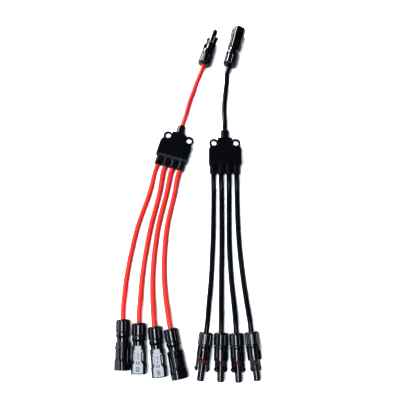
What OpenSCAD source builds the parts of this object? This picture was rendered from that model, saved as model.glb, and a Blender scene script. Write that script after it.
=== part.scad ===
// A pair of one-to-four branch leads for joining strings of solar panels.
// The red lead has one plug on its trunk and four sleeves on its branches; the black lead is the reverse.
// Millimetres, +Z up, +Y from the branch connectors to the trunk connectors, lying on z = 0.

/* [Cable] */
// Outer diameter of the cable jacket
cable_d = 6; // [5:0.1:6.1]
// Diameter of the bare conductor inside it
conductor_d = 2.6; // [2:0.1:3]
// Sides of the swept cable
cable_sides = 10; // [8:1:12]

/* [Gland nut] */
// Largest diameter over the grip lobes
nut_d = 16.8; // [16.2:0.1:17]
// Length of the nut
nut_len = 15; // [14:0.5:15]
// Number of grip lobes
nut_lobes = 8; // [6:1:10]
// Depth of the grooves between the lobes
groove_depth = 0.8; // [0.4:0.1:1]

/* [Plug] */
// Where the two wings end, from the nut's rear face
plug_shoulder = 31.5; // [30:0.5:32.5]
// Where the nose ends, from the nut's rear face
plug_len = 54.5; // [52:0.5:56]
// Diameter of the nose
nose_d = 7.8; // [7.4:0.1:7.8]
// Tip of the latch arms, from the nut's rear face
latch_tip = 43.6; // [42.5:0.1:45]

/* [Sleeve] */
// Length of the sleeve connector, nut included
sleeve_len = 57; // [55:0.5:60]
// Width at the mouth, across the latch windows
mouth_w = 17; // [16.6:0.1:18]
// Thickness at the mouth, across the two flat panels
mouth_t = 14.6; // [14.2:0.1:16]

/* [Junction block] */
// Width of the moulded body
block_w = 41; // [40:0.5:44]
// Length of the body without its neck and collars
block_len = 36; // [35:0.5:38]
// Thickness of the body
block_t = 12; // [11.5:0.5:14]
// Distance between the two screw ears
ear_gap = 28.2; // [27:0.1:29]
// Diameter of the screw holes
ear_hole_d = 7.2; // [6:0.1:7.5]
// Distance between neighbouring branch cables at the block
cable_pitch = 9.75; // [9.7:0.05:10]

/* [Hidden] */
$fn = 48;
eps = 0.01;

// Where each connector's nut begins: x, y, height of its axis, heading from +Y, roll about its axis
red_plug_at = [18.6, 173, 8.4, -17, -42];
black_sleeve_at = [52.8, 171.5, 9.2, -14, -65];
red_sleeves_at = [
    [-75.7, -158, 9.5, -178.8, 50],
    [-57, -162, 8.4, -179, 0],
    [-38.8, -166, 8.4, -173, 0],
    [-20.3, -168.5, 9.6, -168.5, -40]
];
black_plugs_at = [
    [21.2, -172.5, 8.4, 172.5, -15],
    [38.6, -173, 8.4, 178.5, -45],
    [56, -173.5, 8.4, -178, -33],
    [73.4, -172, 8.6, -174, -55]
];
// Where each block's branch end stands: x, y, heading from +Y
red_block_at = [-22.5, 41, -16.5];
black_block_at = [45.6, 33, -0.5];

// Routes of the cables between their straight ends
red_trunk_route = [[-3, 110, 3.3], [1, 125, 3], [6, 139, 3.3], [10.7, 151, 6]];
black_trunk_route = [[45.6, 108, 3.3], [46.2, 122, 3], [47.7, 136, 3.4], [49.5, 149, 6.2]];
red_routes = [
    [[-49, -2, 3.2], [-62, -43, 3], [-69, -75, 3], [-73.8, -105, 3], [-75.6, -127, 4.9]],
    [[-36.5, -2, 3.2], [-46, -43, 3], [-51.5, -75, 3], [-55.2, -105, 3], [-56.6, -128, 4.2]],
    [[-27.5, -2, 3.2], [-36.8, -43, 3], [-41, -75, 3], [-42.8, -105, 3], [-42.3, -129, 4.2]],
    [[-17.5, -2, 3.2], [-26, -43, 3], [-29, -75, 3], [-29.2, -105, 3], [-26.8, -132, 4.8]]
];
black_routes = [
    [[31, -2, 3.2], [30.4, -43, 3], [29.2, -75, 3], [27.3, -110, 3], [24.4, -141, 4.8]],
    [[41, -2, 3.2], [40.9, -43, 3], [40.5, -75, 3], [39.8, -110, 3], [39.2, -141, 4.8]],
    [[50.4, -2, 3.2], [49.9, -43, 3], [50, -75, 3], [51.6, -110, 3], [54.2, -141, 4.8]],
    [[60.4, -2, 3.2], [60.8, -43, 3], [62.4, -75, 3], [65.8, -110, 3], [69.7, -141, 4.8]]
];

// Colours
black = [0.06, 0.06, 0.07];
red = [0.85, 0.12, 0.1];
seal_red = [0.45, 0.05, 0.05];
metal = [0.75, 0.75, 0.72];
copper = [0.72, 0.42, 0.26];
grey = [0.3, 0.3, 0.32];

// Shared rear half of every connector, measured along its axis from the nut's rear face
nut_r = nut_d / 2;
cable_r = cable_d / 2;
rear_wall = 3;
entry_r = 3.6;
spigot_z = 5;
spigot_end = nut_len + 0.3;
spigot_r = 6.9;
spigot_bore = 5.9;
spigot_floor = 13.5;
thread_pitch = 1.5;
thread_clearance = 0.15;
cable_end = 13.5;
contact_start = 14.2;
// Plug front
nose_r = nose_d / 2;
nose_bore = 3.1;
wing_r = 7.9;
wing_gap_r = 5.7;
wing_start = 21.5;
window_half = 5;
latch_in = 5.6;
latch_out = 7.4;
latch_half = 2.6;
latch_root = 27.5;
hook_r = 8.6;
hook_z = latch_tip - 4;
seal_z = 30.8;
seal_len = 5.2;
seal_r = 4.9;
seal_seat_r = 3.6;
// Sleeve front
collar_end = 20.8;
neck_end = 25.5;
waist_w = 15.6;
waist_t = 13;
corner_r = 5;
sleeve_neck_r = 6.9;
flare_z = 46;
panel_half = 4.2;
tab_half = 5.6;
flare_half = 6;
cavity_r = 4.1;
cavity_floor = 31.5;
pin_r = 2;
pin_neck_r = 2.3;
pin_tip = 49.5;
// Junction block
step_in = 1.6;
step_t = 1.2;
ear_r = 5.8;
ear_t = 4;
ear_y = 31;
neck_r = 5.4;
neck_len = 11;
collar_r = 4.8;
collar_len = 11.7;
rib_depth = 0.6;
cable_z = block_t / 2;
seat_depth = 8;
splice_w = 33;
splice_y = 16;

// Puts a connector, drawn along +Z, on the floor
module lay(at) {
    translate([at[0], at[1], at[2]])
        rotate([0, 0, at[3]])
            rotate([-90, 0, 0])
                rotate([0, 0, at[4]])
                    children();
}

module stand(at) {
    translate([at[0], at[1], 0])
        rotate([0, 0, at[2]])
            children();
}

module ring(r_out, r_in, z0, z1) {
    translate([0, 0, z0])
        difference() {
            cylinder(r = r_out, h = z1 - z0);
            translate([0, 0, -1])
                cylinder(r = r_in, h = z1 - z0 + 2);
        }
}

module rounded(w, t, r) {
    square([w - 2 * r, t], center = true);
    square([w, t - 2 * r], center = true);
    for (x = [-1, 1], y = [-1, 1])
        translate([x * (w / 2 - r), y * (t / 2 - r)])
            circle(r = r);
}

// Gland nut: round rear rim, grip lobes, cable entry, and a smooth bore over the spigot
nut_rim = [for (a = [0:15:90]) [nut_r - 2 + 2 * sin(a), 2 - 2 * cos(a)]];
module nut() {
    color(black)
    difference() {
        rotate_extrude()
            polygon(concat(
                [[entry_r, 0]], nut_rim,
                [[nut_r, nut_len - 0.4], [nut_r - 0.4, nut_len],
                 [spigot_r + thread_clearance, nut_len],
                 [spigot_r + thread_clearance, spigot_z],
                 [spigot_bore, rear_wall], [entry_r, rear_wall]]
            ));
        for (i = [0:nut_lobes - 1])
            rotate([0, 0, (i + 0.5) * 360 / nut_lobes])
                translate([nut_r - groove_depth + 1.7, 0, 0.8])
                    cylinder(r = 1.7, h = nut_len - 1.8, $fn = 24);
    }
}

// Slotted clamp ring that the nut closes on the gland seal
module collet() {
    color(grey)
    difference() {
        rotate_extrude()
            polygon([[4.4, 3.8], [4.9, 3.4], [5.4, 3.4], [5.75, 4.4], [5.75, 11], [4.4, 11]]);
        for (i = [0:2])
            rotate([0, 0, i * 60])
                translate([-7, -0.5, 3])
                    cube([14, 1, 5]);
    }
}

module gland_seal() {
    color(grey)
        ring(4.3, cable_r + 0.05, 5.2, 13);
}

// Double-lipped ring at the foot of a plug's nose
module nose_seal() {
    color(seal_red)
    translate([0, 0, seal_z])
    rotate_extrude()
        polygon([
            [seal_seat_r, 0], [seal_r - 0.5, 0], [seal_r, 0.6], [seal_r, 1.6], [seal_r - 0.6, 2.2],
            [seal_r - 0.6, 3], [seal_r, 3.6], [seal_r, 4.6], [seal_r - 0.5, seal_len], [seal_seat_r, seal_len]
        ]);
}

// Threaded spigot at the rear of both kinds of housing
module spigot() {
    difference() {
        union() {
            ring(spigot_r - 0.45, spigot_bore, spigot_z, spigot_end);
            for (z = [spigot_z + 0.3:thread_pitch:spigot_end - 1.2])
                translate([0, 0, z])
                    rotate_extrude()
                        polygon([
                            [spigot_bore + 0.2, 0], [spigot_r - 0.5, 0],
                            [spigot_r, 0.35], [spigot_r, 0.65], [spigot_r - 0.5, 1], [spigot_bore + 0.2, 1]
                        ]);
        }
        translate([0, 0, -1])
            cylinder(r = spigot_bore, h = 8);
    }
}

module plug_housing() {
    color(black)
    difference() {
        union() {
            spigot();
            // flange and core behind the wings
            translate([0, 0, spigot_floor])
                rotate_extrude()
                    polygon([
                        [nose_bore, 0], [spigot_bore + 0.2, 0], [spigot_bore + 0.2, 1.8], [8, 1.8],
                        [8.2, 2.1], [8.2, 3.7], [7.7, 4.2], [wing_r, 4.8],
                        [wing_r, 8], [nose_bore, 8]
                    ]);
            // nose, with the thicker seat behind its seal
            rotate_extrude()
                polygon([
                    [nose_bore, spigot_floor + 1], [4.6, spigot_floor + 1], [4.6, seal_z - 0.3],
                    [4.3, seal_z], [seal_seat_r, seal_z], [seal_seat_r, seal_z + seal_len],
                    [nose_r, seal_z + seal_len], [nose_r, plug_len - 0.8],
                    [nose_r - 0.8, plug_len], [2.4, plug_len], [2.4, plug_len - 2], [nose_bore, plug_len - 2]
                ]);
            wings();
        }
        for (side = [0, 180])
            rotate([0, 0, side])
                translate([window_half - 1, -latch_half - 0.4, latch_root - 0.4])
                    cube([5, 2 * latch_half + 0.8, 5]);
    }
}

module wings() {
    difference() {
        translate([0, 0, wing_start - eps])
            cylinder(r = wing_r, h = plug_shoulder - wing_start + eps);
        translate([0, 0, wing_start])
            cylinder(r = wing_gap_r, h = 20);
        translate([-window_half, -10, wing_start])
            cube([2 * window_half, 20, 20]);
    }
}

// One springy latch arm on the +X side
module latch() {
    color(black)
    translate([0, latch_half, 0])
        rotate([90, 0, 0])
            linear_extrude(2 * latch_half)
                polygon([
                    [latch_in, latch_root], [latch_out, latch_root], [latch_out, hook_z - 0.2],
                    [hook_r, hook_z], [hook_r, hook_z + 1.4], [latch_in + 1.2, latch_tip],
                    [latch_in + 0.3, latch_tip], [latch_in, latch_tip - 0.3]
                ]);
}

module latch_left() {
    rotate([0, 0, 180])
        latch();
}

// Metal socket inside a plug's nose, crimped on the conductor
module socket_contact() {
    color(metal)
    rotate_extrude()
        polygon([
            [0, contact_start], [2.4, contact_start], [2.4, 24], [2.95, 24.5],
            [2.95, plug_len - 2.4], [2.05, plug_len - 2.4], [2.05, 35], [0, 35]
        ]);
}

// Metal pin inside a sleeve, crimped on the conductor
module pin_contact() {
    color(metal)
    rotate_extrude()
        polygon([
            [0, contact_start], [2.4, contact_start], [2.4, 22], [2.9, 22.5], [2.9, 26],
            [pin_neck_r, 26.4], [pin_neck_r, cavity_floor - 0.2], [pin_r, cavity_floor],
            [pin_r, pin_tip - 1], [pin_r - 0.5, pin_tip - 0.2], [1, pin_tip], [0, pin_tip]
        ]);
}

// Flat panel with two tabs that widens towards the mouth, drawn in X and Z
module panel_shape() {
    half = [
        [panel_half, neck_end], [panel_half, 30.2], [tab_half, 30.8], [tab_half, 32.2],
        [panel_half, 32.8], [panel_half, 42.8], [flare_half, flare_z + 0.5], [flare_half, sleeve_len - 0.6]
    ];
    polygon(concat(half, [for (i = [len(half) - 1:-1:0]) [-half[i][0], half[i][1]]]));
}

module sleeve_housing() {
    color(black)
    difference() {
        union() {
            spigot();
            // collar and neck behind the body
            translate([0, 0, spigot_floor])
                rotate_extrude()
                    polygon([
                        [3, 0], [spigot_bore + 0.2, 0], [spigot_bore + 0.2, 1.8], [7.7, 1.8],
                        [8.1, 2.2], [8.1, 5.6], [7.3, 7.3], [sleeve_neck_r, 7.5],
                        [sleeve_neck_r, neck_end - spigot_floor + 1],
                        [3, neck_end - spigot_floor + 1]
                    ]);
            translate([0, 0, neck_end])
                linear_extrude(flare_z - neck_end + 1)
                    rounded(waist_w, waist_t, corner_r - 1);
            translate([0, 0, flare_z - 1.6])
                linear_extrude(2)
                    rounded((waist_w + mouth_w) / 2, waist_t + 0.6, corner_r - 0.6);
            translate([0, 0, flare_z])
                linear_extrude(sleeve_len - flare_z)
                    rounded(mouth_w, mouth_t - 0.8, corner_r);
            translate([0, mouth_t / 2, 0])
                rotate([90, 0, 0])
                    linear_extrude(mouth_t)
                        panel_shape();
        }
        // way of the contact and the nose
        translate([0, 0, spigot_floor - 1])
            cylinder(r = 3, h = 14);
        translate([0, 0, 26])
            cylinder(r = pin_neck_r + 0.1, h = 8);
        translate([0, 0, cavity_floor])
            cylinder(r = cavity_r, h = sleeve_len);
        translate([0, 0, sleeve_len - 5.5])
            cylinder(r = seal_r + 0.05, h = 6);
        for (side = [0, 180])
            rotate([0, 0, side]) {
                // channel of the latch arm and the window that its hook snaps into
                translate([5.5, -3.2, 33])
                    cube([2.1, 6.4, sleeve_len]);
                translate([6.5, -3, 33.5])
                    cube([4, 6, sleeve_len - 8 - 33.5]);
                // shallow slots beside the panels
                for (y = [5.2, -5.2 - 5])
                    for (x = [panel_half + 0.1, -panel_half - 1.7])
                        translate([x, y, 33])
                            cube([1.6, 5, 9.6]);
            }
    }
}

// Ribbed round sleeve along +Z
module ribbed(r, length) {
    ribs = 3;
    step = length / ribs;
    cylinder(r = r - rib_depth, h = length);
    for (i = [0:ribs - 1])
        translate([0, 0, i * step + 0.9])
            cylinder(r = r, h = step - 0.9);
}

module block_outline() {
    half = [
        [block_w / 2 - 0.8, 0], [block_w / 2, 0.8], [block_w / 2, 21.5], [block_w / 2 - 1.2, 23],
        [17, 24.8], [9.8, block_len - 1.8], [8.2, block_len]
    ];
    polygon(concat(half, [for (i = [len(half) - 1:-1:0]) [-half[i][0], half[i][1]]]));
}

cable_x = [for (i = [0:3]) (i - 1.5) * cable_pitch];

// Conductor bar and its stubs, one for each cable
module splice() {
    color(copper) {
        translate([-splice_w / 2, splice_y - 4, cable_z - 2])
            cube([splice_w, 8, 4]);
        for (x = cable_x)
            translate([x, splice_y - 4 + eps, cable_z])
                rotate([90, 0, 0])
                    cylinder(d = conductor_d, h = splice_y - 4 + collar_len - seat_depth);
        translate([0, splice_y + 4 - eps, cable_z])
            rotate([-90, 0, 0])
                cylinder(d = conductor_d, h = block_len + neck_len - seat_depth - splice_y - 4);
    }
}

module junction_block() {
    color(black)
    difference() {
        union() {
            difference() {
                union() {
                    linear_extrude(0.8)
                        offset(delta = -0.8)
                            block_outline();
                    translate([0, 0, 0.8])
                        linear_extrude(block_t - 0.8 - step_t)
                            block_outline();
                    translate([0, 0, block_t - step_t - eps])
                        linear_extrude(step_t + eps)
                            offset(delta = -step_in)
                                block_outline();
                }
                for (x = [-ear_gap / 2, ear_gap / 2])
                    translate([x, ear_y, -1])
                        cylinder(r = ear_r + 0.1, h = block_t + 2);
            }
            for (x = [-ear_gap / 2, ear_gap / 2])
                translate([x, ear_y, 0])
                    cylinder(r = ear_r + 0.15, h = ear_t);
            translate([0, block_len - 1, cable_z])
                rotate([-90, 0, 0])
                    ribbed(neck_r, neck_len + 1);
            for (x = cable_x)
                translate([x, 1, cable_z])
                    rotate([90, 0, 0])
                        ribbed(collar_r, collar_len + 1);
            translate([cable_x[0], -collar_len + 0.6, cable_z - 2])
                cube([3 * cable_pitch, collar_len, 4]);
        }
        for (x = [-ear_gap / 2, ear_gap / 2])
            translate([x, ear_y, -1])
                cylinder(d = ear_hole_d, h = block_t);
        splice();
        for (x = cable_x)
            translate([x, -collar_len + seat_depth, cable_z])
                rotate([90, 0, 0])
                    cylinder(r = cable_r + 0.05, h = seat_depth + 1);
        translate([0, block_len + neck_len - seat_depth, cable_z])
            rotate([-90, 0, 0])
                cylinder(r = cable_r + 0.05, h = seat_depth + 1);
    }
}

// A point of a block or a connector in the lead's own frame
function unit(v) = v / norm(v);
function on_block(at, x, y) = [
    at[0] + x * cos(at[2]) - y * sin(at[2]),
    at[1] + x * sin(at[2]) + y * cos(at[2]),
    cable_z
];
function on_axis(at, z) = [at[0] - z * sin(at[3]), at[1] + z * cos(at[3]), at[2]];

// Whole route: seated in the block, straight out of it, free, straight into the nut, inside the housing
function branch_path(block, x, route, at) = concat(
    [on_block(block, x, -collar_len + seat_depth), on_block(block, x, -collar_len - 8)],
    route,
    [on_axis(at, -12), on_axis(at, cable_end)]
);
function trunk_path(block, route, at) = concat(
    [on_block(block, 0, block_len + neck_len - seat_depth), on_block(block, 0, block_len + neck_len + 8)],
    route,
    [on_axis(at, -12), on_axis(at, cable_end)]
);

// Direction of a path at point i, and the ring of jacket points around it
function along(p, i) = i == 0 ? unit(p[1] - p[0])
    : i == len(p) - 1 ? unit(p[i] - p[i - 1])
    : unit(unit(p[i + 1] - p[i]) + unit(p[i] - p[i - 1]));
function jacket_ring(c, t) =
    let(side = unit(cross(t, [0, 0, 1])), up = cross(side, t))
    [for (k = [0:cable_sides - 1])
        let(a = 360 * k / cable_sides)
        c + cable_r * (cos(a) * side + sin(a) * up)];

module cable(path, tint) {
    n = cable_sides;
    last = len(path) - 1;
    points = [for (i = [0:last]) each jacket_ring(path[i], along(path, i))];
    color(tint)
        polyhedron(points, concat(
            [[for (k = [0:n - 1]) k]],
            [for (i = [0:last - 1], k = [0:n - 1])
                let(a = i * n + k, b = i * n + (k + 1) % n)
                each [[a, a + n, b], [b, a + n, b + n]]],
            [[for (k = [n - 1:-1:0]) last * n + k]]
        ));
}

module red_seals() {
    lay(red_plug_at) {
        nose_seal();
        gland_seal();
    }
    for (at = red_sleeves_at)
        lay(at)
            gland_seal();
}

module black_seals() {
    for (at = black_plugs_at)
        lay(at) {
            nose_seal();
            gland_seal();
        }
    lay(black_sleeve_at)
        gland_seal();
}

module red_branch_cable(i) {
    cable(branch_path(red_block_at, cable_x[i], red_routes[i], red_sleeves_at[i]), red);
}

module black_branch_cable(i) {
    cable(branch_path(black_block_at, cable_x[i], black_routes[i], black_plugs_at[i]), black);
}

lay(red_plug_at) plug_housing();  // red_trunk_housing
lay(red_plug_at) latch_left();  // red_trunk_latch_left
lay(red_plug_at) latch();  // red_trunk_latch_right
lay(red_plug_at) nut();  // red_trunk_nut
lay(red_plug_at) collet();  // red_trunk_collet
lay(red_plug_at) socket_contact();  // red_socket_contact
red_seals();
stand(red_block_at) junction_block();  // red_junction_block
stand(red_block_at) splice();  // red_splice
cable(trunk_path(red_block_at, red_trunk_route, red_plug_at), red);  // red_trunk_cable
red_branch_cable(0);  // red_cable_1
red_branch_cable(1);  // red_cable_2
red_branch_cable(2);  // red_cable_3
red_branch_cable(3);  // red_cable_4
lay(red_sleeves_at[0]) sleeve_housing();  // red_sleeve_1_housing
lay(red_sleeves_at[0]) nut();  // red_sleeve_1_nut
lay(red_sleeves_at[0]) collet();  // red_sleeve_1_collet
lay(red_sleeves_at[1]) sleeve_housing();  // red_sleeve_2_housing
lay(red_sleeves_at[1]) nut();  // red_sleeve_2_nut
lay(red_sleeves_at[1]) collet();  // red_sleeve_2_collet
lay(red_sleeves_at[2]) sleeve_housing();  // red_sleeve_3_housing
lay(red_sleeves_at[2]) nut();  // red_sleeve_3_nut
lay(red_sleeves_at[2]) collet();  // red_sleeve_3_collet
lay(red_sleeves_at[3]) sleeve_housing();  // red_sleeve_4_housing
lay(red_sleeves_at[3]) nut();  // red_sleeve_4_nut
lay(red_sleeves_at[3]) collet();  // red_sleeve_4_collet
for (at = red_sleeves_at) lay(at) pin_contact();  // red_pin_contacts
lay(black_sleeve_at) sleeve_housing();  // black_trunk_housing
lay(black_sleeve_at) nut();  // black_trunk_nut
lay(black_sleeve_at) collet();  // black_trunk_collet
lay(black_sleeve_at) pin_contact();  // black_pin_contact
black_seals();
stand(black_block_at) junction_block();  // black_junction_block
stand(black_block_at) splice();  // black_splice
cable(trunk_path(black_block_at, black_trunk_route, black_sleeve_at), black);  // black_trunk_cable
black_branch_cable(0);  // black_cable_1
black_branch_cable(1);  // black_cable_2
black_branch_cable(2);  // black_cable_3
black_branch_cable(3);  // black_cable_4
lay(black_plugs_at[0]) plug_housing();  // black_plug_1_housing
lay(black_plugs_at[0]) latch_left();  // black_plug_1_latch_left
lay(black_plugs_at[0]) latch();  // black_plug_1_latch_right
lay(black_plugs_at[0]) nut();  // black_plug_1_nut
lay(black_plugs_at[0]) collet();  // black_plug_1_collet
lay(black_plugs_at[1]) plug_housing();  // black_plug_2_housing
lay(black_plugs_at[1]) latch_left();  // black_plug_2_latch_left
lay(black_plugs_at[1]) latch();  // black_plug_2_latch_right
lay(black_plugs_at[1]) nut();  // black_plug_2_nut
lay(black_plugs_at[1]) collet();  // black_plug_2_collet
lay(black_plugs_at[2]) plug_housing();  // black_plug_3_housing
lay(black_plugs_at[2]) latch_left();  // black_plug_3_latch_left
lay(black_plugs_at[2]) latch();  // black_plug_3_latch_right
lay(black_plugs_at[2]) nut();  // black_plug_3_nut
lay(black_plugs_at[2]) collet();  // black_plug_3_collet
lay(black_plugs_at[3]) plug_housing();  // black_plug_4_housing
lay(black_plugs_at[3]) latch_left();  // black_plug_4_latch_left
lay(black_plugs_at[3]) latch();  // black_plug_4_latch_right
lay(black_plugs_at[3]) nut();  // black_plug_4_nut
lay(black_plugs_at[3]) collet();  // black_plug_4_collet
for (at = black_plugs_at) lay(at) socket_contact();  // black_socket_contacts
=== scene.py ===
# Looks of a pair of solar branch leads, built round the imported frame
import math

import bmesh
import bpy
from mathutils import Matrix, Vector


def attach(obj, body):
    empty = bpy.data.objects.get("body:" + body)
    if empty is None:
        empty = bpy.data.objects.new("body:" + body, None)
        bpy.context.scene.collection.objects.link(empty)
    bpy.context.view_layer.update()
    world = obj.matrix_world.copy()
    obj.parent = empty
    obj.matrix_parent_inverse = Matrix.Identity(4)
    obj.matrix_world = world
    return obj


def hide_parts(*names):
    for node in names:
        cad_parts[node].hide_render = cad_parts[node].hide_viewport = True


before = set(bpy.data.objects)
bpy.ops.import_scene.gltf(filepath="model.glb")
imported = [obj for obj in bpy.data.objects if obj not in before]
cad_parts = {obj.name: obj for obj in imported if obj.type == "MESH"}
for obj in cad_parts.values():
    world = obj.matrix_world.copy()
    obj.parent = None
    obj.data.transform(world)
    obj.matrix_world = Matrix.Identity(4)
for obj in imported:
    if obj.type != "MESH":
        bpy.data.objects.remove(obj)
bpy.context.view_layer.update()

mm = 0.001
print("frame loaded:", len(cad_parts), "nodes")

# where each connector's nut begins, as in the part's source: x, y and axis height in mm, heading, roll
connectorPlaces = {
    "red_trunk": (18.6, 173, 8.4, -17, -42),
    "black_trunk": (52.8, 171.5, 9.2, -14, -65),
    "red_sleeve_1": (-75.7, -158, 9.5, -178.8, 50),
    "red_sleeve_2": (-57, -162, 8.4, -179, 0),
    "red_sleeve_3": (-38.8, -166, 8.4, -173, 0),
    "red_sleeve_4": (-20.3, -168.5, 9.6, -168.5, -40),
    "black_plug_1": (21.2, -172.5, 8.4, 172.5, -15),
    "black_plug_2": (38.6, -173, 8.4, 178.5, -45),
    "black_plug_3": (56, -173.5, 8.4, -178, -33),
    "black_plug_4": (73.4, -172, 8.6, -174, -55),
}
plugNames = ["red_trunk", "black_plug_1", "black_plug_2", "black_plug_3", "black_plug_4"]
sleeveNames = ["black_trunk", "red_sleeve_1", "red_sleeve_2", "red_sleeve_3", "red_sleeve_4"]
blockPlaces = {"red": (-22.5, 41, -16.5), "black": (45.6, 33, -0.5)}


# ---- camera ----
camera = {"place": (0.014, -0.1931, 0.657), "tilt": 15.5, "lens": 48.88, "sensor": 36}

def makeCamera(s):
    data = bpy.data.cameras.new("camera")
    data.lens = s["lens"]
    data.sensor_width = s["sensor"]
    data.clip_start = 0.01
    obj = bpy.data.objects.new("camera", data)
    obj.location = s["place"]
    obj.rotation_euler = (math.radians(s["tilt"]), 0, 0)
    bpy.context.scene.collection.objects.link(obj)
    bpy.context.scene.camera = obj

makeCamera(camera)


# ---- shader nodes ----
class Signal:
    # a socket that takes part in sums; each sum adds its Math nodes
    def __init__(self, finish, socket):
        self.finish, self.socket = finish, socket

    def sum(self, operation, first, second):
        return self.finish.node("ShaderNodeMath", {"operation": operation}, {0: first, 1: second})

    def __add__(self, other): return self.sum("ADD", self, other)
    def __radd__(self, other): return self.sum("ADD", other, self)
    def __sub__(self, other): return self.sum("SUBTRACT", self, other)
    def __rsub__(self, other): return self.sum("SUBTRACT", other, self)
    def __mul__(self, other): return self.sum("MULTIPLY", self, other)
    def __rmul__(self, other): return self.sum("MULTIPLY", other, self)


class Finish:
    def __init__(self, name):
        self.material = bpy.data.materials.new(name)
        self.material.use_nodes = True
        self.tree = self.material.node_tree
        self.tree.nodes.clear()

    def node(self, kind, settings=None, inputs=None, output=0):
        made = self.tree.nodes.new(kind)
        for key, value in (settings or {}).items():
            if key == "stops":
                while len(made.color_ramp.elements) < len(value):
                    made.color_ramp.elements.new(0.5)
                for element, (at, level) in zip(made.color_ramp.elements, value):
                    element.position = at
                    element.color = (level, level, level, 1)
            else:
                setattr(made, key, value)
        for key, value in (inputs or {}).items():
            if isinstance(value, Signal):
                self.tree.links.new(value.socket, made.inputs[key])
            else:
                made.inputs[key].default_value = value
        return Signal(self, made.outputs[output] if made.outputs else None)

    def objectPlace(self):
        return self.node("ShaderNodeTexCoord", output="Object")

    def noise(self, place, scale, detail=3, roughness=0.5):
        return self.node("ShaderNodeTexNoise", None, {
            "Vector": place, "Scale": scale, "Detail": detail, "Roughness": roughness})

    def ramp(self, signal, stops):
        return self.node("ShaderNodeValToRGB", {"stops": stops}, {"Fac": signal})

    def mix(self, factor, first, second):
        return self.node("ShaderNodeMix", {"data_type": "RGBA"}, {
            0: factor, 6: (*first, 1) if isinstance(first, tuple) else first,
            7: (*second, 1) if isinstance(second, tuple) else second}, 2)

    def bump(self, height, strength, distance, below=None):
        inputs = {"Height": height, "Strength": strength, "Distance": distance}
        if below is not None:
            inputs["Normal"] = below
        return self.node("ShaderNodeBump", None, inputs)

    def surface(self, **inputs):
        shader = self.node("ShaderNodeBsdfPrincipled", None,
                           {key.replace("_", " "): value for key, value in inputs.items()})
        self.node("ShaderNodeOutputMaterial", None, {"Surface": shader})
        return self.material


# the second colour is the lighter tone of scuffs and convex edges; on edges it is partly wear and partly a
# painted highlight along rims and ribs
mouldedLooks = {
    "housing": {"base": (0.0028, 0.003, 0.004), "worn": (0.012, 0.012, 0.014), "rough": 0.12, "grain": 0.05},
    "nut": {"base": (0.0028, 0.003, 0.004), "worn": (0.014, 0.014, 0.016), "rough": 0.1, "grain": 0.04},
    "block": {"base": (0.003, 0.0035, 0.0055), "worn": (0.011, 0.012, 0.015), "rough": 0.15, "grain": 0.14},
    "mark": {"base": (0.002, 0.002, 0.003), "worn": (0.008, 0.008, 0.01), "rough": 0.75, "grain": 0.5},
    "latch": {"base": (0.0028, 0.003, 0.004), "worn": (0.012, 0.012, 0.014), "rough": 0.22, "grain": 0.12},
    "clamp": {"base": (0.05, 0.05, 0.055), "worn": (0.1, 0.1, 0.11), "rough": 0.42, "grain": 0.25},
}

def mouldedPlastic(name, s):
    finish = Finish(name)
    place = finish.objectPlace()
    cloud = finish.noise(place, 55, 2)
    grain = finish.noise(place, 2400, 2, 0.6)
    flow = finish.noise(place, 260, 3, 0.55)
    # convex edges are lightened towards the second colour: partly edge wear, partly a painted highlight on
    # rims and ribs; the scuffs are wear
    edge = finish.ramp(finish.node("ShaderNodeNewGeometry", output="Pointiness"), [(0.51, 0), (0.6, 1)])
    scuff = finish.ramp(finish.noise(place, 700, 4, 0.7), [(0.6, 0), (0.74, 1)])
    colour = finish.mix(edge * 0.5 + scuff * 0.12, s["base"], s["worn"])
    rough = s["rough"] + (cloud - 0.5) * 0.16 + scuff * 0.1 + (flow - 0.5) * 0.08
    normal = finish.bump(grain, s["grain"], 0.00003, finish.bump(flow, s["grain"] * 0.6, 0.0001))
    return finish.surface(Base_Color=colour, Roughness=rough, Normal=normal, IOR=1.5,
                          Specular_IOR_Level=0.3)


jacketLooks = {
    "cable_red": {"base": (0.5, 0.036, 0.026), "dull": (0.42, 0.03, 0.023), "rough": 0.36, "shine": 0.2},
    "cable_black": {"base": (0.003, 0.0034, 0.0046), "dull": (0.006, 0.006, 0.0075), "rough": 0.2,
                    "shine": 0.12},
}

def cableJacket(name, s):
    finish = Finish(name)
    place = finish.node("ShaderNodeUVMap", {"uv_map": "length"})
    drawn = finish.node("ShaderNodeVectorMath", {"operation": "MULTIPLY"}, {0: place, 1: (90, 160, 1)})
    streak = finish.noise(drawn, 1, 3, 0.6)
    place = finish.objectPlace()
    cloud = finish.noise(place, 90, 2)
    grain = finish.noise(place, 1500, 2, 0.6)
    rub = finish.ramp(finish.noise(place, 420, 4, 0.7), [(0.6, 0), (0.75, 1)])
    colour = finish.mix(rub * 0.4 + (cloud - 0.4) * 0.5, s["base"], s["dull"])
    rough = s["rough"] + (cloud - 0.5) * 0.14 + rub * 0.12
    normal = finish.bump(grain, 0.12, 0.00004, finish.bump(streak, 0.2, 0.00008))
    return finish.surface(Base_Color=colour, Roughness=rough, Normal=normal, IOR=1.5,
                          Specular_IOR_Level=s["shine"])


sealLook = {"base": (0.055, 0.006, 0.006), "pale": (0.11, 0.014, 0.013), "rough": 0.4}

def siliconeRubber(name, s):
    finish = Finish(name)
    place = finish.objectPlace()
    cloud = finish.noise(place, 500, 3)
    grain = finish.noise(place, 3000, 2, 0.6)
    colour = finish.mix(cloud, s["base"], s["pale"])
    rough = s["rough"] + (cloud - 0.5) * 0.2
    return finish.surface(Base_Color=colour, Roughness=rough, Normal=finish.bump(grain, 0.2, 0.00004))


metalLooks = {
    "tin": {"base": (0.62, 0.61, 0.58), "dull": (0.42, 0.41, 0.39), "rough": 0.24},
    "copper": {"base": (0.72, 0.32, 0.16), "dull": (0.42, 0.17, 0.09), "rough": 0.3},
}

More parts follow.
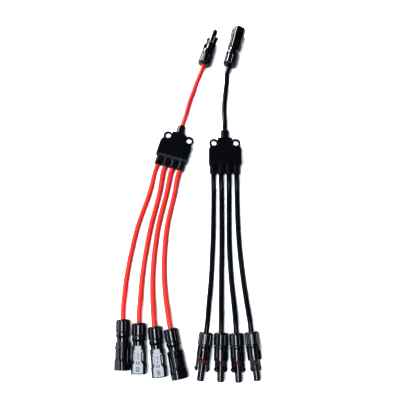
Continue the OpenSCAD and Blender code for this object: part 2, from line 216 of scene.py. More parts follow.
def platedMetal(name, s):
    finish = Finish(name)
    place = finish.objectPlace()
    cloud = finish.noise(place, 800, 4, 0.6)
    turned = finish.noise(place, 3500, 2)
    colour = finish.mix(cloud, s["base"], s["dull"])
    rough = s["rough"] + (cloud - 0.5) * 0.25
    return finish.surface(Base_Color=colour, Roughness=rough, Metallic=1.0,
                          Normal=finish.bump(turned, 0.15, 0.00003))


def studioFloor(name):
    finish = Finish(name)
    place = finish.objectPlace()
    cloud = finish.noise(place, 3, 3)
    fine = finish.noise(place, 900, 2)
    colour = finish.mix(cloud, (0.93, 0.94, 0.965), (0.96, 0.965, 0.98))
    return finish.surface(Base_Color=colour, Roughness=0.75 + (cloud - 0.5) * 0.1,
                          Normal=finish.bump(fine, 0.03, 0.0001), Specular_IOR_Level=0.2)


finishes = {name: mouldedPlastic(name + "_plastic", look) for name, look in mouldedLooks.items()}
finishes.update({name: cableJacket(name + "_jacket", look) for name, look in jacketLooks.items()})
finishes.update({name: platedMetal(name + "_metal", look) for name, look in metalLooks.items()})
finishes["seal"] = siliconeRubber("seal_silicone", sealLook)
finishes["floor"] = studioFloor("floor_paint")
print("finishes made:", len(finishes))


# ---- placing ----
def onAxis(place):
    # a connector's own frame, in mm along its axis from the nut's rear face, set down in the leads' frame
    x, y, height, heading, roll = place
    return (Matrix.Translation(Vector((x, y, height)) * mm)
            @ Matrix.Rotation(math.radians(heading), 4, "Z")
            @ Matrix.Rotation(math.radians(-90), 4, "X")
            @ Matrix.Rotation(math.radians(roll), 4, "Z")
            @ Matrix.Scale(mm, 4))

def atBlock(place):
    x, y, heading = place
    return (Matrix.Translation(Vector((x, y, 0)) * mm)
            @ Matrix.Rotation(math.radians(heading), 4, "Z")
            @ Matrix.Scale(mm, 4))

def leadOf(name):
    return "red_lead" if name.startswith("red") else "black_lead"

def sharpen(mesh, angle=32):
    mesh.polygons.foreach_set("use_smooth", [True] * len(mesh.polygons))
    mesh.set_sharp_from_angle(angle=math.radians(angle))

def settle(name, mesh, matrix, *used):
    # a copy of a mesh made in mm, put in its place in metres
    mesh = mesh.copy()
    mesh.name = name
    mesh.transform(matrix)
    painted = [0] * len(mesh.polygons)
    if len(used) > 1:
        mesh.polygons.foreach_get("material_index", painted)
    mesh.materials.clear()
    for finish in used:
        mesh.materials.append(finishes[finish])
    mesh.polygons.foreach_set("material_index", painted)
    sharpen(mesh)
    obj = bpy.data.objects.new(name, mesh)
    bpy.context.scene.collection.objects.link(obj)
    # large flat faces keep their own direction beside rounded rims
    even = obj.modifiers.new("even", "WEIGHTED_NORMAL")
    even.keep_sharp, even.weight = True, 90
    obj.data = evaluated(obj)
    obj.modifiers.clear()
    return obj

def finishPiece(obj, body, slot, *nodes):
    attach(obj, body)
    if nodes:
        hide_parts(*nodes)


# ---- cables ----
cableShape = {
    "diameter": 6.0, "sides": 24, "step": 2.4,
    # how far it reaches into the block, leaves it straight, runs straight behind the nut and into it
    "seat": 8, "straight": 8, "behindNut": 12, "inNut": 13.5,
}
blockShape = {
    "width": 41, "length": 36, "height": 12, "stepIn": 1.6, "stepDown": 1.2,
    "earGap": 28.2, "earAlong": 31, "earRadius": 5.95, "earHole": 3.6, "earHeight": 4,
    "neckRadius": 5.4, "neckLength": 11, "collarRadius": 4.8, "collarLength": 11.7,
    "ribs": 4, "pitch": 9.75, "cableHeight": 6,
}
# free stretches of the cables, as in the part's source, in mm
cableRoutes = {
    "red_trunk_cable": [(-3, 110, 3.3), (1, 125, 3), (6, 139, 3.3), (10.7, 151, 6)],
    "black_trunk_cable": [(45.6, 108, 3.3), (46.2, 122, 3), (47.7, 136, 3.4), (49.5, 149, 6.2)],
    "red_cable_1": [(-49, -2, 3.2), (-62, -43, 3), (-69, -75, 3), (-73.8, -105, 3), (-75.6, -127, 4.9)],
    "red_cable_2": [(-36.5, -2, 3.2), (-46, -43, 3), (-51.5, -75, 3), (-55.2, -105, 3), (-56.6, -128, 4.2)],
    "red_cable_3": [(-27.5, -2, 3.2), (-36.8, -43, 3), (-41, -75, 3), (-42.8, -105, 3), (-42.3, -129, 4.2)],
    "red_cable_4": [(-17.5, -2, 3.2), (-26, -43, 3), (-29, -75, 3), (-29.2, -105, 3), (-26.8, -132, 4.8)],
    "black_cable_1": [(31, -2, 3.2), (30.4, -43, 3), (29.2, -75, 3), (27.3, -110, 3), (24.4, -141, 4.8)],
    "black_cable_2": [(41, -2, 3.2), (40.9, -43, 3), (40.5, -75, 3), (39.8, -110, 3), (39.2, -141, 4.8)],
    "black_cable_3": [(50.4, -2, 3.2), (49.9, -43, 3), (50, -75, 3), (51.6, -110, 3), (54.2, -141, 4.8)],
    "black_cable_4": [(60.4, -2, 3.2), (60.8, -43, 3), (62.4, -75, 3), (65.8, -110, 3), (69.7, -141, 4.8)],
}

def smoothLine(points, step):
    # Catmull-Rom through the points, resampled at an even step
    dense = []
    padded = [points[0] * 2 - points[1], *points, points[-1] * 2 - points[-2]]
    for a, b, c, d in zip(padded, padded[1:], padded[2:], padded[3:]):
        reach = (c - b).length
        tangentB = (c - a) / ((b - a).length + reach) * reach
        tangentC = (d - b) / ((d - c).length + reach) * reach
        for i in range(24):
            t = i / 24
            dense.append(b * (2 * t**3 - 3 * t**2 + 1) + tangentB * (t**3 - 2 * t**2 + t)
                         + c * (3 * t**2 - 2 * t**3) + tangentC * (t**3 - t**2))
    dense.append(points[-1])
    along = [0]
    for a, b in zip(dense, dense[1:]):
        along.append(along[-1] + (b - a).length)
    count = max(2, round(along[-1] / step))
    line, k = [], 0
    for i in range(count + 1):
        target = along[-1] * i / count
        while k < len(along) - 2 and along[k + 1] < target:
            k += 1
        share = (target - along[k]) / max(1e-9, along[k + 1] - along[k])
        line.append(dense[k].lerp(dense[k + 1], share))
    return line

def sweepTube(name, line, radius, sides):
    # a closed round tube along the line, with its unrolled length as a UV map
    mesh = bmesh.new()
    uv = mesh.loops.layers.uv.new("length")
    rings, travelled, along = [], 0, []
    for i, here in enumerate(line):
        ahead = (line[min(i + 1, len(line) - 1)] - line[max(i - 1, 0)]).normalized()
        side = ahead.cross(Vector((0, 0, 1))).normalized()
        up = side.cross(ahead)
        rings.append([mesh.verts.new(here + radius * (math.cos(a) * side + math.sin(a) * up))
                      for a in (2 * math.pi * k / sides for k in range(sides))])
        travelled += (here - line[i - 1]).length if i else 0
        along.append(travelled)
    for i, (low, high) in enumerate(zip(rings, rings[1:])):
        for k in range(sides):
            nextK = (k + 1) % sides
            face = mesh.faces.new((low[k], low[nextK], high[nextK], high[k]))
            around = 2 * math.pi * radius / sides
            for loop, (u, v) in zip(face.loops, ((k, i), (k + 1, i), (k + 1, i + 1), (k, i + 1))):
                loop[uv].uv = (u * around, along[v])
    mesh.faces.new(list(reversed(rings[0])))
    mesh.faces.new(rings[-1])
    bmesh.ops.recalc_face_normals(mesh, faces=mesh.faces)
    data = bpy.data.meshes.new(name)
    mesh.to_mesh(data)
    mesh.free()
    return data

def makeCable(name, s):
    lead = "red" if name.startswith("red") else "black"
    trunk = "trunk" in name
    block = atBlock(blockPlaces[lead])
    out = 1 if trunk else -1
    mouth = blockShape["length"] + blockShape["neckLength"] if trunk else -blockShape["collarLength"]
    x = 0 if trunk else (int(name[-1]) - 2.5) * blockShape["pitch"]
    inside = block @ Vector((x, mouth - out * s["seat"], blockShape["cableHeight"]))
    edge = block @ Vector((x, mouth, blockShape["cableHeight"]))
    outside = block @ Vector((x, mouth + out * s["straight"], blockShape["cableHeight"]))
    ends = {"red_trunk_cable": "red_trunk", "black_trunk_cable": "black_trunk"}
    kind = "red_sleeve_" if lead == "red" else "black_plug_"
    axis = onAxis(connectorPlaces[ends.get(name, kind + name[-1])])
    route = [Vector(p) * mm for p in cableRoutes[name]]
    points = [inside, edge, outside, *route, axis @ Vector((0, 0, -s["behindNut"])),
              axis @ Vector((0, 0, 0)), axis @ Vector((0, 0, s["inNut"]))]
    line = smoothLine(points, s["step"] * mm)
    obj = bpy.data.objects.new(name + "_jacket", sweepTube(name, line, s["diameter"] / 2 * mm, s["sides"]))
    bpy.context.scene.collection.objects.link(obj)
    obj.data.materials.append(finishes["cable_" + lead])
    sharpen(obj.data, 50)
    finishPiece(obj, lead + "_lead", "cable_" + lead, name)
    drawn = sum((b - a).length for a, b in zip(line, line[1:]))
    print(name, "length", round(drawn, 4), "m")

for name in cableRoutes:
    makeCable(name, cableShape)


# ---- mesh makers, all in mm ----
def roundCorners(points, size=0.3, steps=3):
    # each corner of an outline becomes a short curve; a third number is the corner's own size
    made = []
    count = len(points)
    for i, point in enumerate(points):
        here = Vector(point[:2])
        reach = point[2] if len(point) > 2 else size
        before = Vector(points[i - 1][:2]) - here
        after = Vector(points[(i + 1) % count][:2]) - here
        cut = min(reach, before.length * 0.48, after.length * 0.48)
        start, end = here + before.normalized() * cut, here + after.normalized() * cut
        for k in range(steps + 1):
            t = k / steps
            made.append(start * (1 - t)**2 + here * 2 * t * (1 - t) + end * t**2)
    return made

def meshFrom(mesh):
    bmesh.ops.remove_doubles(mesh, verts=mesh.verts, dist=0.0005)
    bmesh.ops.recalc_face_normals(mesh, faces=mesh.faces)
    data = bpy.data.meshes.new("shape")
    mesh.to_mesh(data)
    mesh.free()
    return data

def skinRings(rings, closed=False):
    # quads between rings of as many points each, capped unless the last ring meets the first
    mesh = bmesh.new()
    rows = [[mesh.verts.new(p) for p in ring] for ring in rings]
    pairs = list(zip(rows, rows[1:])) + ([(rows[-1], rows[0])] if closed else [])
    for low, high in pairs:
        for k in range(len(low)):
            n = (k + 1) % len(low)
            mesh.faces.new((low[k], low[n], high[n], high[k]))
    if not closed:
        mesh.faces.new(list(reversed(rows[0])))
        mesh.faces.new(rows[-1])
    return meshFrom(mesh)

def lathe(profile, sides=56, size=0.25, steps=3):
    # a closed outline of (radius, height) turned about the axis
    outline = roundCorners(profile, size, steps)
    turned = [[Vector((p.x * math.cos(a), p.x * math.sin(a), p.y)) for p in outline]
              for a in (2 * math.pi * k / sides for k in range(sides))]
    return skinRings(turned, closed=True)

def pull(corners, depth):
    # the corners moved inwards along their mitres; roundings shrink outside and grow inside
    made = []
    count = len(corners)
    area = sum(a[0] * b[1] - b[0] * a[1] for a, b in zip(corners, corners[1:] + corners[:1]))
    side = 1 if area > 0 else -1
    for i, corner in enumerate(corners):
        here = Vector(corner[:2])
        size = corner[2]
        before = (here - Vector(corners[i - 1][:2])).normalized()
        after = (Vector(corners[(i + 1) % count][:2]) - here).normalized()
        inwards = Vector((-before.y - after.y, before.x + after.x)) * side
        here = here + inwards * depth / (1 + before.dot(after))
        bend = (before.x * after.y - before.y * after.x) * side
        made.append((here.x, here.y, max(0.05, size - math.copysign(0.55 * depth, bend))))
    return made

def slab(corners, low, high, edge=0.3, lower=None):
    # an outline in XY raised from low to high with rounded rims
    steps = 3
    lowEdge = edge if lower is None else lower
    angles = [math.pi / 2 * k / steps for k in range(steps + 1)]
    rings = [(lowEdge * (1 - math.sin(a)), low + lowEdge * (1 - math.cos(a))) for a in angles]
    rings += [(edge * (1 - math.cos(a)), high - edge * (1 - math.sin(a))) for a in angles]
    return skinRings([flatRing(pull(corners, inset), z, steps) for inset, z in rings])

def flatRing(corners, z, steps):
    return [Vector((p.x, p.y, z)) for p in roundCorners(corners, 0.3, steps)]

def boxCorners(width, depth, corner):
    x, y = width / 2, depth / 2
    return [(x, -y, corner), (x, y, corner), (-x, y, corner), (-x, -y, corner)]

def moved(mesh, *matrices):
    copy = mesh.copy()
    for matrix in matrices:
        copy.transform(matrix)
    return copy

def shift(x=0, y=0, z=0):
    return Matrix.Translation((x, y, z))

def turn(degrees, axis="Z"):
    return Matrix.Rotation(math.radians(degrees), 4, axis)

def evaluated(obj):
    graph = bpy.context.evaluated_depsgraph_get()
    return bpy.data.meshes.new_from_object(obj.evaluated_get(graph))

def workObject(mesh):
    obj = bpy.data.objects.new("work", mesh)
    bpy.context.scene.collection.objects.link(obj)
    return obj

def combine(base, others, operation="UNION"):
    # one closed solid from several
    obj = workObject(base)
    helpers = []
    for other in others:
        helper = workObject(other)
        helpers.append(helper)
        cut = obj.modifiers.new("cut", "BOOLEAN")
        cut.object, cut.operation, cut.solver = helper, operation, "EXACT"
    made = evaluated(obj)
    for used in [obj, *helpers]:
        bpy.data.objects.remove(used)
    return made

def joined(*meshes):
    mesh = bmesh.new()
    for part in meshes:
        mesh.from_mesh(part)
    data = bpy.data.meshes.new("joined")
    mesh.to_mesh(data)
    mesh.free()
    return data


# ---- geometry node trees ----
class Tree:
    def __init__(self, name, inputs):
        self.group = bpy.data.node_groups.new(name, "GeometryNodeTree")
        self.group.interface.new_socket("Geometry", in_out="INPUT", socket_type="NodeSocketGeometry")
        for label, kind in inputs.items():
            self.group.interface.new_socket(label, in_out="INPUT", socket_type="NodeSocket" + kind)
        self.group.interface.new_socket("Geometry", in_out="OUTPUT", socket_type="NodeSocketGeometry")
        self.start = self.group.nodes.new("NodeGroupInput")

    def node(self, kind, settings=None, inputs=None, output=0):
        made = self.group.nodes.new(kind)
        for key, value in (settings or {}).items():
            setattr(made, key, value)
        for key, value in (inputs or {}).items():
            for one in value if isinstance(value, list) else [value]:
                if isinstance(one, bpy.types.NodeSocket):
                    self.group.links.new(one, made.inputs[key])
                else:
                    made.inputs[key].default_value = one
        return made.outputs[output]

    def input(self, label):
        return self.start.outputs[label]

    def end(self, geometry):
        real = self.node("GeometryNodeRealizeInstances", None, {"Geometry": geometry})
        painted = self.node("GeometryNodeSetMaterial", None, {
            "Geometry": real, "Material": self.input("Material")})
        self.group.links.new(painted, self.group.nodes.new("NodeGroupOutput").inputs[0])
        return self.group

def ringOfRibs():
    # copies of one rib turned about the axis, on a core
    t = Tree("ringOfRibs", {"Count": "Int", "Core": "Object", "Material": "Material"})
    points = t.node("GeometryNodePoints", None, {"Count": t.input("Count")})
    step = t.node("ShaderNodeMath", {"operation": "DIVIDE"}, {0: 2 * math.pi, 1: t.input("Count")})
    index = t.node("GeometryNodeInputIndex")
    angle = t.node("ShaderNodeMath", {"operation": "MULTIPLY"}, {0: index, 1: step})
    turned = t.node("ShaderNodeCombineXYZ", None, {"Z": angle})
    ribs = t.node("GeometryNodeInstanceOnPoints", None, {
        "Points": points, "Instance": t.input("Geometry"), "Rotation": turned})
    core = t.node("GeometryNodeObjectInfo", None, {"Object": t.input("Core")}, "Geometry")
    return t.end(t.node("GeometryNodeJoinGeometry", None, {"Geometry": [core, ribs]}))

def rowOfRings():
    # copies of one ring along the axis, on a core
    t = Tree("rowOfRings", {"Count": "Int", "Start": "Float", "Step": "Float", "Core": "Object",
                            "Material": "Material"})
    first = t.node("ShaderNodeCombineXYZ", None, {"Z": t.input("Start")})
    step = t.node("ShaderNodeCombineXYZ", None, {"Z": t.input("Step")})
    line = t.node("GeometryNodeMeshLine", {"mode": "OFFSET"}, {
        "Count": t.input("Count"), "Start Location": first, "Offset": step})
    rings = t.node("GeometryNodeInstanceOnPoints", None, {"Points": line, "Instance": t.input("Geometry")})
    core = t.node("GeometryNodeObjectInfo", None, {"Object": t.input("Core")}, "Geometry")
    return t.end(t.node("GeometryNodeJoinGeometry", None, {"Geometry": [core, rings]}))

def screwThread():
    # a ridge wound along the axis
    t = Tree("screwThread", {"Turns": "Float", "Radius": "Float", "Length": "Float", "Ridge": "Float",
                             "Material": "Material"})
    spiral = t.node("GeometryNodeCurveSpiral", None, {
        "Resolution": 40, "Rotations": t.input("Turns"), "Start Radius": t.input("Radius"),
        "End Radius": t.input("Radius"), "Height": t.input("Length")})
    section = t.node("GeometryNodeCurvePrimitiveCircle", None, {"Resolution": 6, "Radius": t.input("Ridge")})
    return t.end(t.node("GeometryNodeCurveToMesh", None, {
        "Curve": spiral, "Profile Curve": section, "Fill Caps": True}))

trees = {"ribs": ringOfRibs(), "rings": rowOfRings(), "thread": screwThread()}

def grow(tree, mesh, values):
    # runs a tree on a mesh and keeps the result as plain mesh
    obj = workObject(mesh)
    grower = obj.modifiers.new("grow", "NODES")
    grower.node_group = trees[tree]
    values = {"Material": finishes["housing"], **values}
    helpers = [v for v in values.values() if isinstance(v, bpy.types.Object)]
    for item in trees[tree].interface.items_tree:
        if item.in_out == "INPUT" and item.name in values:
            grower[item.identifier] = values[item.name]
    made = evaluated(obj)
    for used in [obj, *helpers]:
        bpy.data.objects.remove(used)
    return made


# ---- gland nut ----
nutShape = {
    "length": 15, "core": 7.6, "bore": 7.05, "entry": 3.6,
    # grip lobes; half a lobe's width and the spread of its flanks are in degrees
    "lobes": 8, "halfLobe": 13.0, "skirt": 5.0,
    # how the lobes rise out of the rear rim and end at the front: height, radius
    "crown": [(0.25, 6.9), (0.5, 7.35), (0.9, 7.75), (1.4, 8.05), (2.0, 8.27), (2.8, 8.4),
              (13.5, 8.4), (14.1, 8.33), (14.45, 8.1), (14.55, 7.5)],
}

def makeNut(s):
    core = lathe([(s["entry"], 0, 0.5), (6.1, 0, 0.5), (7.1, 0.7, 0.5), (s["core"], 2, 0.6),
                  (s["core"], s["length"], 0.35), (s["bore"], s["length"], 0.2), (s["bore"], 5), (5.9, 3),
                  (s["entry"], 3)], 64)
    rings = []
    for z, top in s["crown"]:
        low = s["core"] - 0.3 if top > s["core"] else top - 0.5
        # half of a lobe's section: flare of the flank, share of the half width, radius
        shape = [(-1.0, 1, low), (-0.55, 1, low + (top - low) * 0.55), (0, 1, top - 0.22),
                 (0, 0.84, top - 0.04), (0, 0.45, top), (0, 0, top)]
        ring = []
        for flare, share, radius in shape:
            a = math.radians(flare * s["skirt"] - share * s["halfLobe"])
            ring.append(Vector((radius * math.cos(a), radius * math.sin(a), z)))
        ring += [Vector((p.x, -p.y, p.z)) for p in reversed(ring[:-1])]
        rings.append(ring)
    return grow("ribs", skinRings(rings), {"Count": s["lobes"], "Core": workObject(core)})

nutMesh = makeNut(nutShape)
for name, place in connectorPlaces.items():
    obj = settle(name + "_grip_nut", nutMesh, onAxis(place), "nut")
    finishPiece(obj, name + "_nut", "black_nut", name + "_nut")
print("nuts made:", len(nutMesh.polygons), "faces each")


# ---- plug ----
spigot = {"radius": 6.45, "from": 5, "turns": 6.2, "threadRadius": 6.42, "threadLength": 9.2, "ridge": 0.48}
plugShape = {"nose": 3.9, "length": 54.5, "wing": 7.9, "gap": 5.7, "chord": 5.0, "shoulder": 31.5,
             "slotHalf": 3.0, "slotFrom": 27.1, "sealFrom": 30.8, "sealTo": 36}

def spigotThread(s):
    ridge = grow("thread", bpy.data.meshes.new("seed"), {
        "Turns": s["turns"], "Radius": s["threadRadius"], "Length": s["threadLength"], "Ridge": s["ridge"]})
    return moved(ridge, shift(z=s["from"] + 0.4))

def arc(radius, halfAngle, steps, ends):
    angles = [halfAngle * k / steps for k in ends]
    return [(radius * math.cos(a), radius * math.sin(a)) for a in angles]

def makePlug(s):
    seal, end, nose, tip = s["sealFrom"], s["sealTo"], s["nose"], s["length"]
    rear, start = spigot["radius"], spigot["from"]
    body = lathe([(5.9, start), (rear, start), (rear, 15.3, 0.1), (8.0, 15.3), (8.2, 15.7), (8.2, 17.1),
                  (7.7, 17.7), (s["wing"], 18.4), (s["wing"], 21.5), (4.6, 21.5), (4.6, seal - 0.3),
                  (4.3, seal), (3.6, seal, 0.1), (3.6, end, 0.1), (nose, end, 0.1), (nose, tip - 0.8, 0.5),
                  (3.0, tip, 0.3), (2.4, tip, 0.3), (2.4, tip - 2), (3.1, tip - 2), (3.1, 13.5), (5.9, 13.5)])
    outerEdge = math.acos(s["chord"] / s["wing"])
    innerEdge = math.acos(s["chord"] / s["gap"])
    corner, notch = s["wing"] * math.sin(outerEdge), s["gap"] * math.sin(innerEdge)
    sector = [(s["chord"], -corner), *arc(s["wing"], outerEdge, 9, range(-8, 9)), (s["chord"], corner),
              (s["chord"], notch), *arc(s["gap"], innerEdge, 4, range(3, -4, -1)), (s["chord"], -notch)]
    wing = slab([(x, y, 0.25) for x, y in sector], 20.8, s["shoulder"], 0.2, lower=0.02)
    solid = combine(body, [wing, moved(wing, turn(180))])
    slot = moved(slab(boxCorners(5, 2 * s["slotHalf"], 0.6), s["slotFrom"], end, 0.3), shift(x=7.2))
    solid = combine(solid, [slot, moved(slot, turn(180))], "DIFFERENCE")
    return joined(solid, spigotThread(spigot))

latchShape = {"half": 2.6, "edge": 0.2, "outline": [
    (5.6, 27.5, 0.2), (7.4, 27.5, 0.2), (7.4, 38.8, 0.6), (8.6, 39.7, 0.25), (8.6, 41, 0.6), (6.8, 43.6, 0.5),
    (5.9, 43.6, 0.3), (5.6, 43.2, 0.2)]}

def makeLatch(s):
    arm = slab(s["outline"], -s["half"], s["half"], s["edge"])
    arm.transform(turn(90, "X"))
    return arm

def makeNoseSeal():
    ring = lathe([(3.6, 0), (4.4, 0, 0.3), (4.9, 0.6, 0.5), (4.9, 1.6, 0.5), (4.3, 2.2, 0.3), (4.3, 3, 0.3),
                  (4.9, 3.6, 0.5), (4.9, 4.6, 0.5), (4.4, 5.2, 0.3), (3.6, 5.2)], 56, 0.1)
    return moved(ring, shift(z=plugShape["sealFrom"]))

def makeGlandSeal():
    return lathe([(3.05, 5.2), (4.3, 5.2), (4.3, 13), (3.05, 13)], 40)

plugMesh, latchMesh = makePlug(plugShape), makeLatch(latchShape)
for name in plugNames:
    matrix = onAxis(connectorPlaces[name])
    obj = settle(name + "_plug_shell", plugMesh, matrix, "housing")
    finishPiece(obj, leadOf(name), "black_housing", name + "_housing")
    for side, angle in (("left", 180), ("right", 0)):
        arm = settle(f"{name}_{side}_arm", latchMesh, matrix @ turn(angle), "latch")
        finishPiece(arm, f"{name}_latch_{side}", "black_housing", f"{name}_latch_{side}")
print("plugs made:", len(plugMesh.polygons), "faces each")

noseSeal, glandSeal = makeNoseSeal(), makeGlandSeal()
for lead in ("red", "black"):
    rings = [moved(glandSeal, onAxis(p)) for n, p in connectorPlaces.items() if n.startswith(lead)]
    rings += [moved(noseSeal, onAxis(connectorPlaces[n])) for n in plugNames if n.startswith(lead)]
    obj = settle(lead + "_rubber_rings", joined(*rings), Matrix.Identity(4), "seal")
    finishPiece(obj, lead + "_lead", "seal_red", lead + "_seals")
print("seals made")


# ---- sleeve ----
sleeveShape = {
    "waist": (15.6, 13), "mouth": (17, 13.8), "corner": 4, "panelTop": 7.3, "neck": 6.9,
    # along the axis: height, growth of the section, share of the mouth's size
    "sections": [(25.5, -0.6, 0), (25.7, -0.25, 0), (26.1, 0, 0), (44.2, 0, 0), (44.9, 0.1, 0.1),
                 (46.2, 0, 0.9), (46.9, 0, 1), (56.4, 0, 1), (56.8, -0.25, 1), (57, -0.7, 1)],
    # right half of the raised panel: half width, height, corner
    "panel": [(3.6, 25.6, 0.4), (3.6, 30.2, 0.3), (5.6, 30.8, 0.3), (5.6, 32.2, 0.3), (3.7, 32.8, 0.3),
              (3.7, 42.8, 0.8), (6, 46.6, 0.8), (6, 56.4, 0.5)],
}

def mirrored(half):
    return half + [(-x, y, corner) for x, y, corner in reversed(half)]

def makeSleeve(s):
    back, start, neck = spigot["radius"], spigot["from"], s["neck"]
    rear = lathe([(5.9, start), (back, start), (back, 15.3, 0.1), (7.7, 15.3), (8.1, 15.7), (8.1, 19.1, 0.6),
                  (7.3, 20.8, 0.4), (neck, 21.1, 0.3), (neck, 27), (3, 27), (3, 13.5), (5.9, 13.5)])
    rings = []
    for z, more, share in s["sections"]:
        width, depth = (a + (b - a) * share + more for a, b in zip(s["waist"], s["mouth"]))
        rings.append(flatRing(boxCorners(width, depth, s["corner"] + share), z, 6))
    panel = moved(slab(mirrored(s["panel"]), 5, s["panelTop"], 0.25, lower=0.02), turn(90, "X"))
    solid = combine(skinRings(rings), [panel, moved(panel, turn(180))])
    well = lathe([(0.01, 26), (2.4, 26), (2.4, 31.5), (4.1, 31.5), (4.1, 51.5), (4.95, 51.5),
                  (4.95, 56.6, 0.2), (5.3, 57.4, 0.1), (5.3, 58), (0.01, 58)], 48, 0.1)
    cutters = [well]
    for angle in (0, 180):
        channel = moved(slab(boxCorners(2.1, 6.4, 0.5), 33, 58, 0.2), shift(x=6.55))
        window = moved(slab(boxCorners(15.3, 6.0, 0.7), 6.5, 10.5, 0.3), turn(90, "Y"), shift(z=41.2))
        cutters += [moved(channel, turn(angle)), moved(window, turn(angle))]
    for x in (5.1, -5.1):
        for y in (7.7, -7.7):
            cutters.append(moved(slab(boxCorners(1.5, 5, 0.3), 33.2, 42.6, 0.2), shift(x=x, y=y)))
    solid = combine(solid, cutters, "DIFFERENCE")
    marks = [moved(mark, turn(angle)) for mark in makePanelMarks(s) for angle in (0, 180)]
    for mark in marks:
        mark.polygons.foreach_set("material_index", [1] * len(mark.polygons))
    return joined(combine(rear, [solid]), spigotThread(spigot), *marks)

def makePanelMarks(s):
    # plain raised marks: three bars, a ring and four rules
    top, rise, sunk = s["panelTop"], 0.14, 0.2
    lying = turn(90, "X")

    def bar(width, depth, corner, edge, z):
        return moved(slab(boxCorners(width, depth, corner), top - sunk, top + rise, edge), lying, shift(z=z))

    bars = [bar(width, 0.7, 0.3, 0.12, z) for width, z in ((2.6, 35), (1.6, 37.6), (2.6, 40))]
    rules = [bar(4.2, 0.55, 0.2, 0.1, z) for z in (49.6, 51, 52.4, 53.8)]
    ring = lathe([(1.35, -sunk), (1.35, rise), (2.0, rise), (2.0, -sunk)], 32, 0.1)
    ring = moved(ring, Matrix.Scale(0.8, 4, (0, 1, 0)), lying, shift(y=-top, z=44.6))
    return bars + [ring] + rules

sleeveMesh = makeSleeve(sleeveShape)
for name in sleeveNames:
    obj = settle(name + "_sleeve_shell", sleeveMesh, onAxis(connectorPlaces[name]), "housing", "mark")
    finishPiece(obj, leadOf(name), "black_housing", name + "_housing")
print("sleeves made:", len(sleeveMesh.polygons), "faces each")


# ---- junction block ----
def makeBlock(s):
    top, length, stepIn = s["height"], s["length"], s["stepIn"]
    side = s["width"] / 2
    outline = mirrored([(side, 0, 1.2), (side, 21.5, 2.2), (17.5, 25.5, 1), (9.8, length - 1.6, 1.5),
                        (7.6, length, 1)])
    shoulder = top - s["stepDown"]
    # from the foot over the step to the rim: inset, height
    rise = [(0.8, 0), (0.3, 0.25), (0, 0.9), (0, shoulder - 0.5), (0.06, shoulder - 0.2),
            (0.2, shoulder - 0.05), (0.4, shoulder), (stepIn - 0.2, shoulder + 0.02),
            (stepIn, shoulder + 0.1), (stepIn + 0.05, top - 0.35), (stepIn + 0.14, top - 0.16),
            (stepIn + 0.3, top - 0.08)]
    loops = [flatRing(pull(outline, inset), z, 4) for inset, z in rise]
    rim = loops[-1]
    # a faint crown closes in on the middle: share of the rim, drop below the top
    for share, drop in ((0.97, 0.065), (0.94, 0.055), (0.8, 0.02), (0.5, -0.04), (0.2, -0.06)):
        middle = Vector((0, length * 0.47, 0))
        loops.append([middle + (Vector((p.x, p.y, 0)) - middle) * share + Vector((0, 0, top - drop))
                      for p in rim])
    ear = lathe([(s["earHole"], 0, 0.3), (s["earRadius"], 0, 0.3), (s["earRadius"], s["earHeight"], 0.7),
                 (s["earHole"], s["earHeight"], 0.5)], 48)
    web = moved(slab(boxCorners(3 * s["pitch"], s["collarLength"] - 1, 0.6),
                     s["cableHeight"] - 2, s["cableHeight"] + 2), shift(y=-s["collarLength"] / 2 + 1))
    room = s["earRadius"] + 0.05
    pocket = lathe([(0.01, -1), (room, -1), (room, top - 2.4, 0.3), (s["earRadius"] + 1.4, top + 1),
                    (0.01, top + 1)], 56, 0.1)
    ends = [shift(x, s["earAlong"]) for x in (-s["earGap"] / 2, s["earGap"] / 2)]
    body = combine(skinRings(loops), [moved(pocket, end) for end in ends], "DIFFERENCE")
    body = combine(body, [moved(ear, end) for end in ends] + [web])
    neck = ribbedSleeve(s["neckRadius"], s["neckLength"] + 1, s["ribs"])
    parts = [body, moved(neck, turn(-90, "X"), shift(0, length - 1, s["cableHeight"]))]
    collar = ribbedSleeve(s["collarRadius"], s["collarLength"] + 1, s["ribs"])
    for i in range(4):
        parts.append(moved(collar, turn(90, "X"), shift((i - 1.5) * s["pitch"], 1, s["cableHeight"])))
    return joined(*parts)

def ribbedSleeve(radius, length, ribs):
    inner, depth = cableShape["diameter"] / 2 + 0.05, 0.6
    valley = radius - depth
    core = lathe([(inner, 2), (valley - 0.6, 0), (valley, 0.6), (valley, length, 0.4),
                  (inner, length, 0.2)], 48)
    step = (length - 1.2) / ribs
    ring = lathe([(valley - 0.3, 0), (radius, 0.05, 0.45), (radius, step - 0.95, 0.45),
                  (valley - 0.3, step - 0.9)], 48, 0.2)
    return grow("rings", ring, {"Count": ribs, "Start": 1.3, "Step": step, "Core": workObject(core)})

blockMesh = makeBlock(blockShape)
for lead, place in blockPlaces.items():
    obj = settle(lead + "_block_shell", blockMesh, atBlock(place), "block")
    finishPiece(obj, lead + "_lead", "block_black", lead + "_junction_block")
print("blocks made:", len(blockMesh.polygons), "faces each")


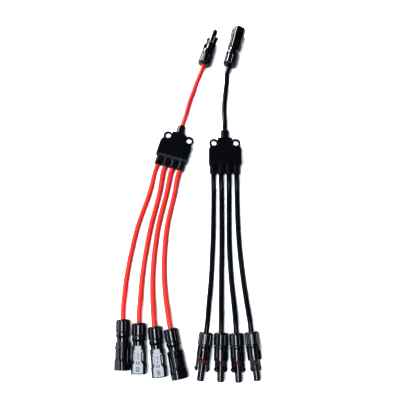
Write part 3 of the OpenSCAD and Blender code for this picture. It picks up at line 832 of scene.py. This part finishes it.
# ---- the inner pieces keep their solids and get a finish ----
for name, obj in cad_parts.items():
    if name.endswith("_collet"):
        finish = "clamp"
    elif "contact" in name:
        finish = "tin"
    elif name.endswith("_splice"):
        finish = "copper"
    else:
        continue
    obj.data.materials.clear()
    obj.data.materials.append(finishes[finish])


# ---- floor and light ----
light = {
    "near": {"at": (-0.26, -0.27, 1.2), "aim": (-0.26, -0.27, 0), "size": (0.52, 0.5), "power": 27,
             "colour": (0.86, 0.92, 1)},
    "back": {"at": (-0.72, 1.02, 0.42), "aim": (0.03, 0.2, 0), "size": (0.7, 0.6), "power": 58,
             "colour": (1, 0.99, 0.98)},
    "low": {"at": (-1.2, -0.05, 0.42), "aim": (0, -0.15, 0.1), "size": (0.9, 0.3), "power": 9,
            "colour": (0.98, 0.99, 1)},
    "right": {"at": (1.2, -0.2, 0.9), "aim": (0, -0.05, 0), "size": (1.0, 0.3), "power": 3,
              "colour": (0.93, 0.95, 1)},
}

def makeLight(name, s):
    data = bpy.data.lights.new(name, "AREA")
    data.shape = "RECTANGLE"
    data.size, data.size_y = s["size"]
    data.energy = s["power"]
    data.color = s["colour"]
    obj = bpy.data.objects.new(name, data)
    obj.location = s["at"]
    aim = Vector(s["aim"]) - Vector(s["at"])
    obj.rotation_euler = aim.to_track_quat("-Z", "Y").to_euler()
    bpy.context.scene.collection.objects.link(obj)

for name, settings in light.items():
    makeLight(name + "_light", settings)

floorShape = {"half": 3.0, "height": -0.0002}
floorMesh = bpy.data.meshes.new("floor")
floorMesh.from_pydata([(x * floorShape["half"], y * floorShape["half"], floorShape["height"])
                       for x, y in ((-1, -1), (1, -1), (1, 1), (-1, 1))], [], [(0, 1, 2, 3)])
floorMesh.materials.append(finishes["floor"])
floor = bpy.data.objects.new("floor", floorMesh)
bpy.context.scene.collection.objects.link(floor)

world = bpy.data.worlds.new("studio")
bpy.context.scene.world = world
world.use_nodes = True
sky = world.node_tree.nodes["Background"]
sky.inputs["Color"].default_value = (0.85, 0.9, 1.0, 1)
sky.inputs["Strength"].default_value = 0.08
view = bpy.context.scene.view_settings
view.view_transform = "Standard"
view.gamma = 0.72
print("floor and light made")
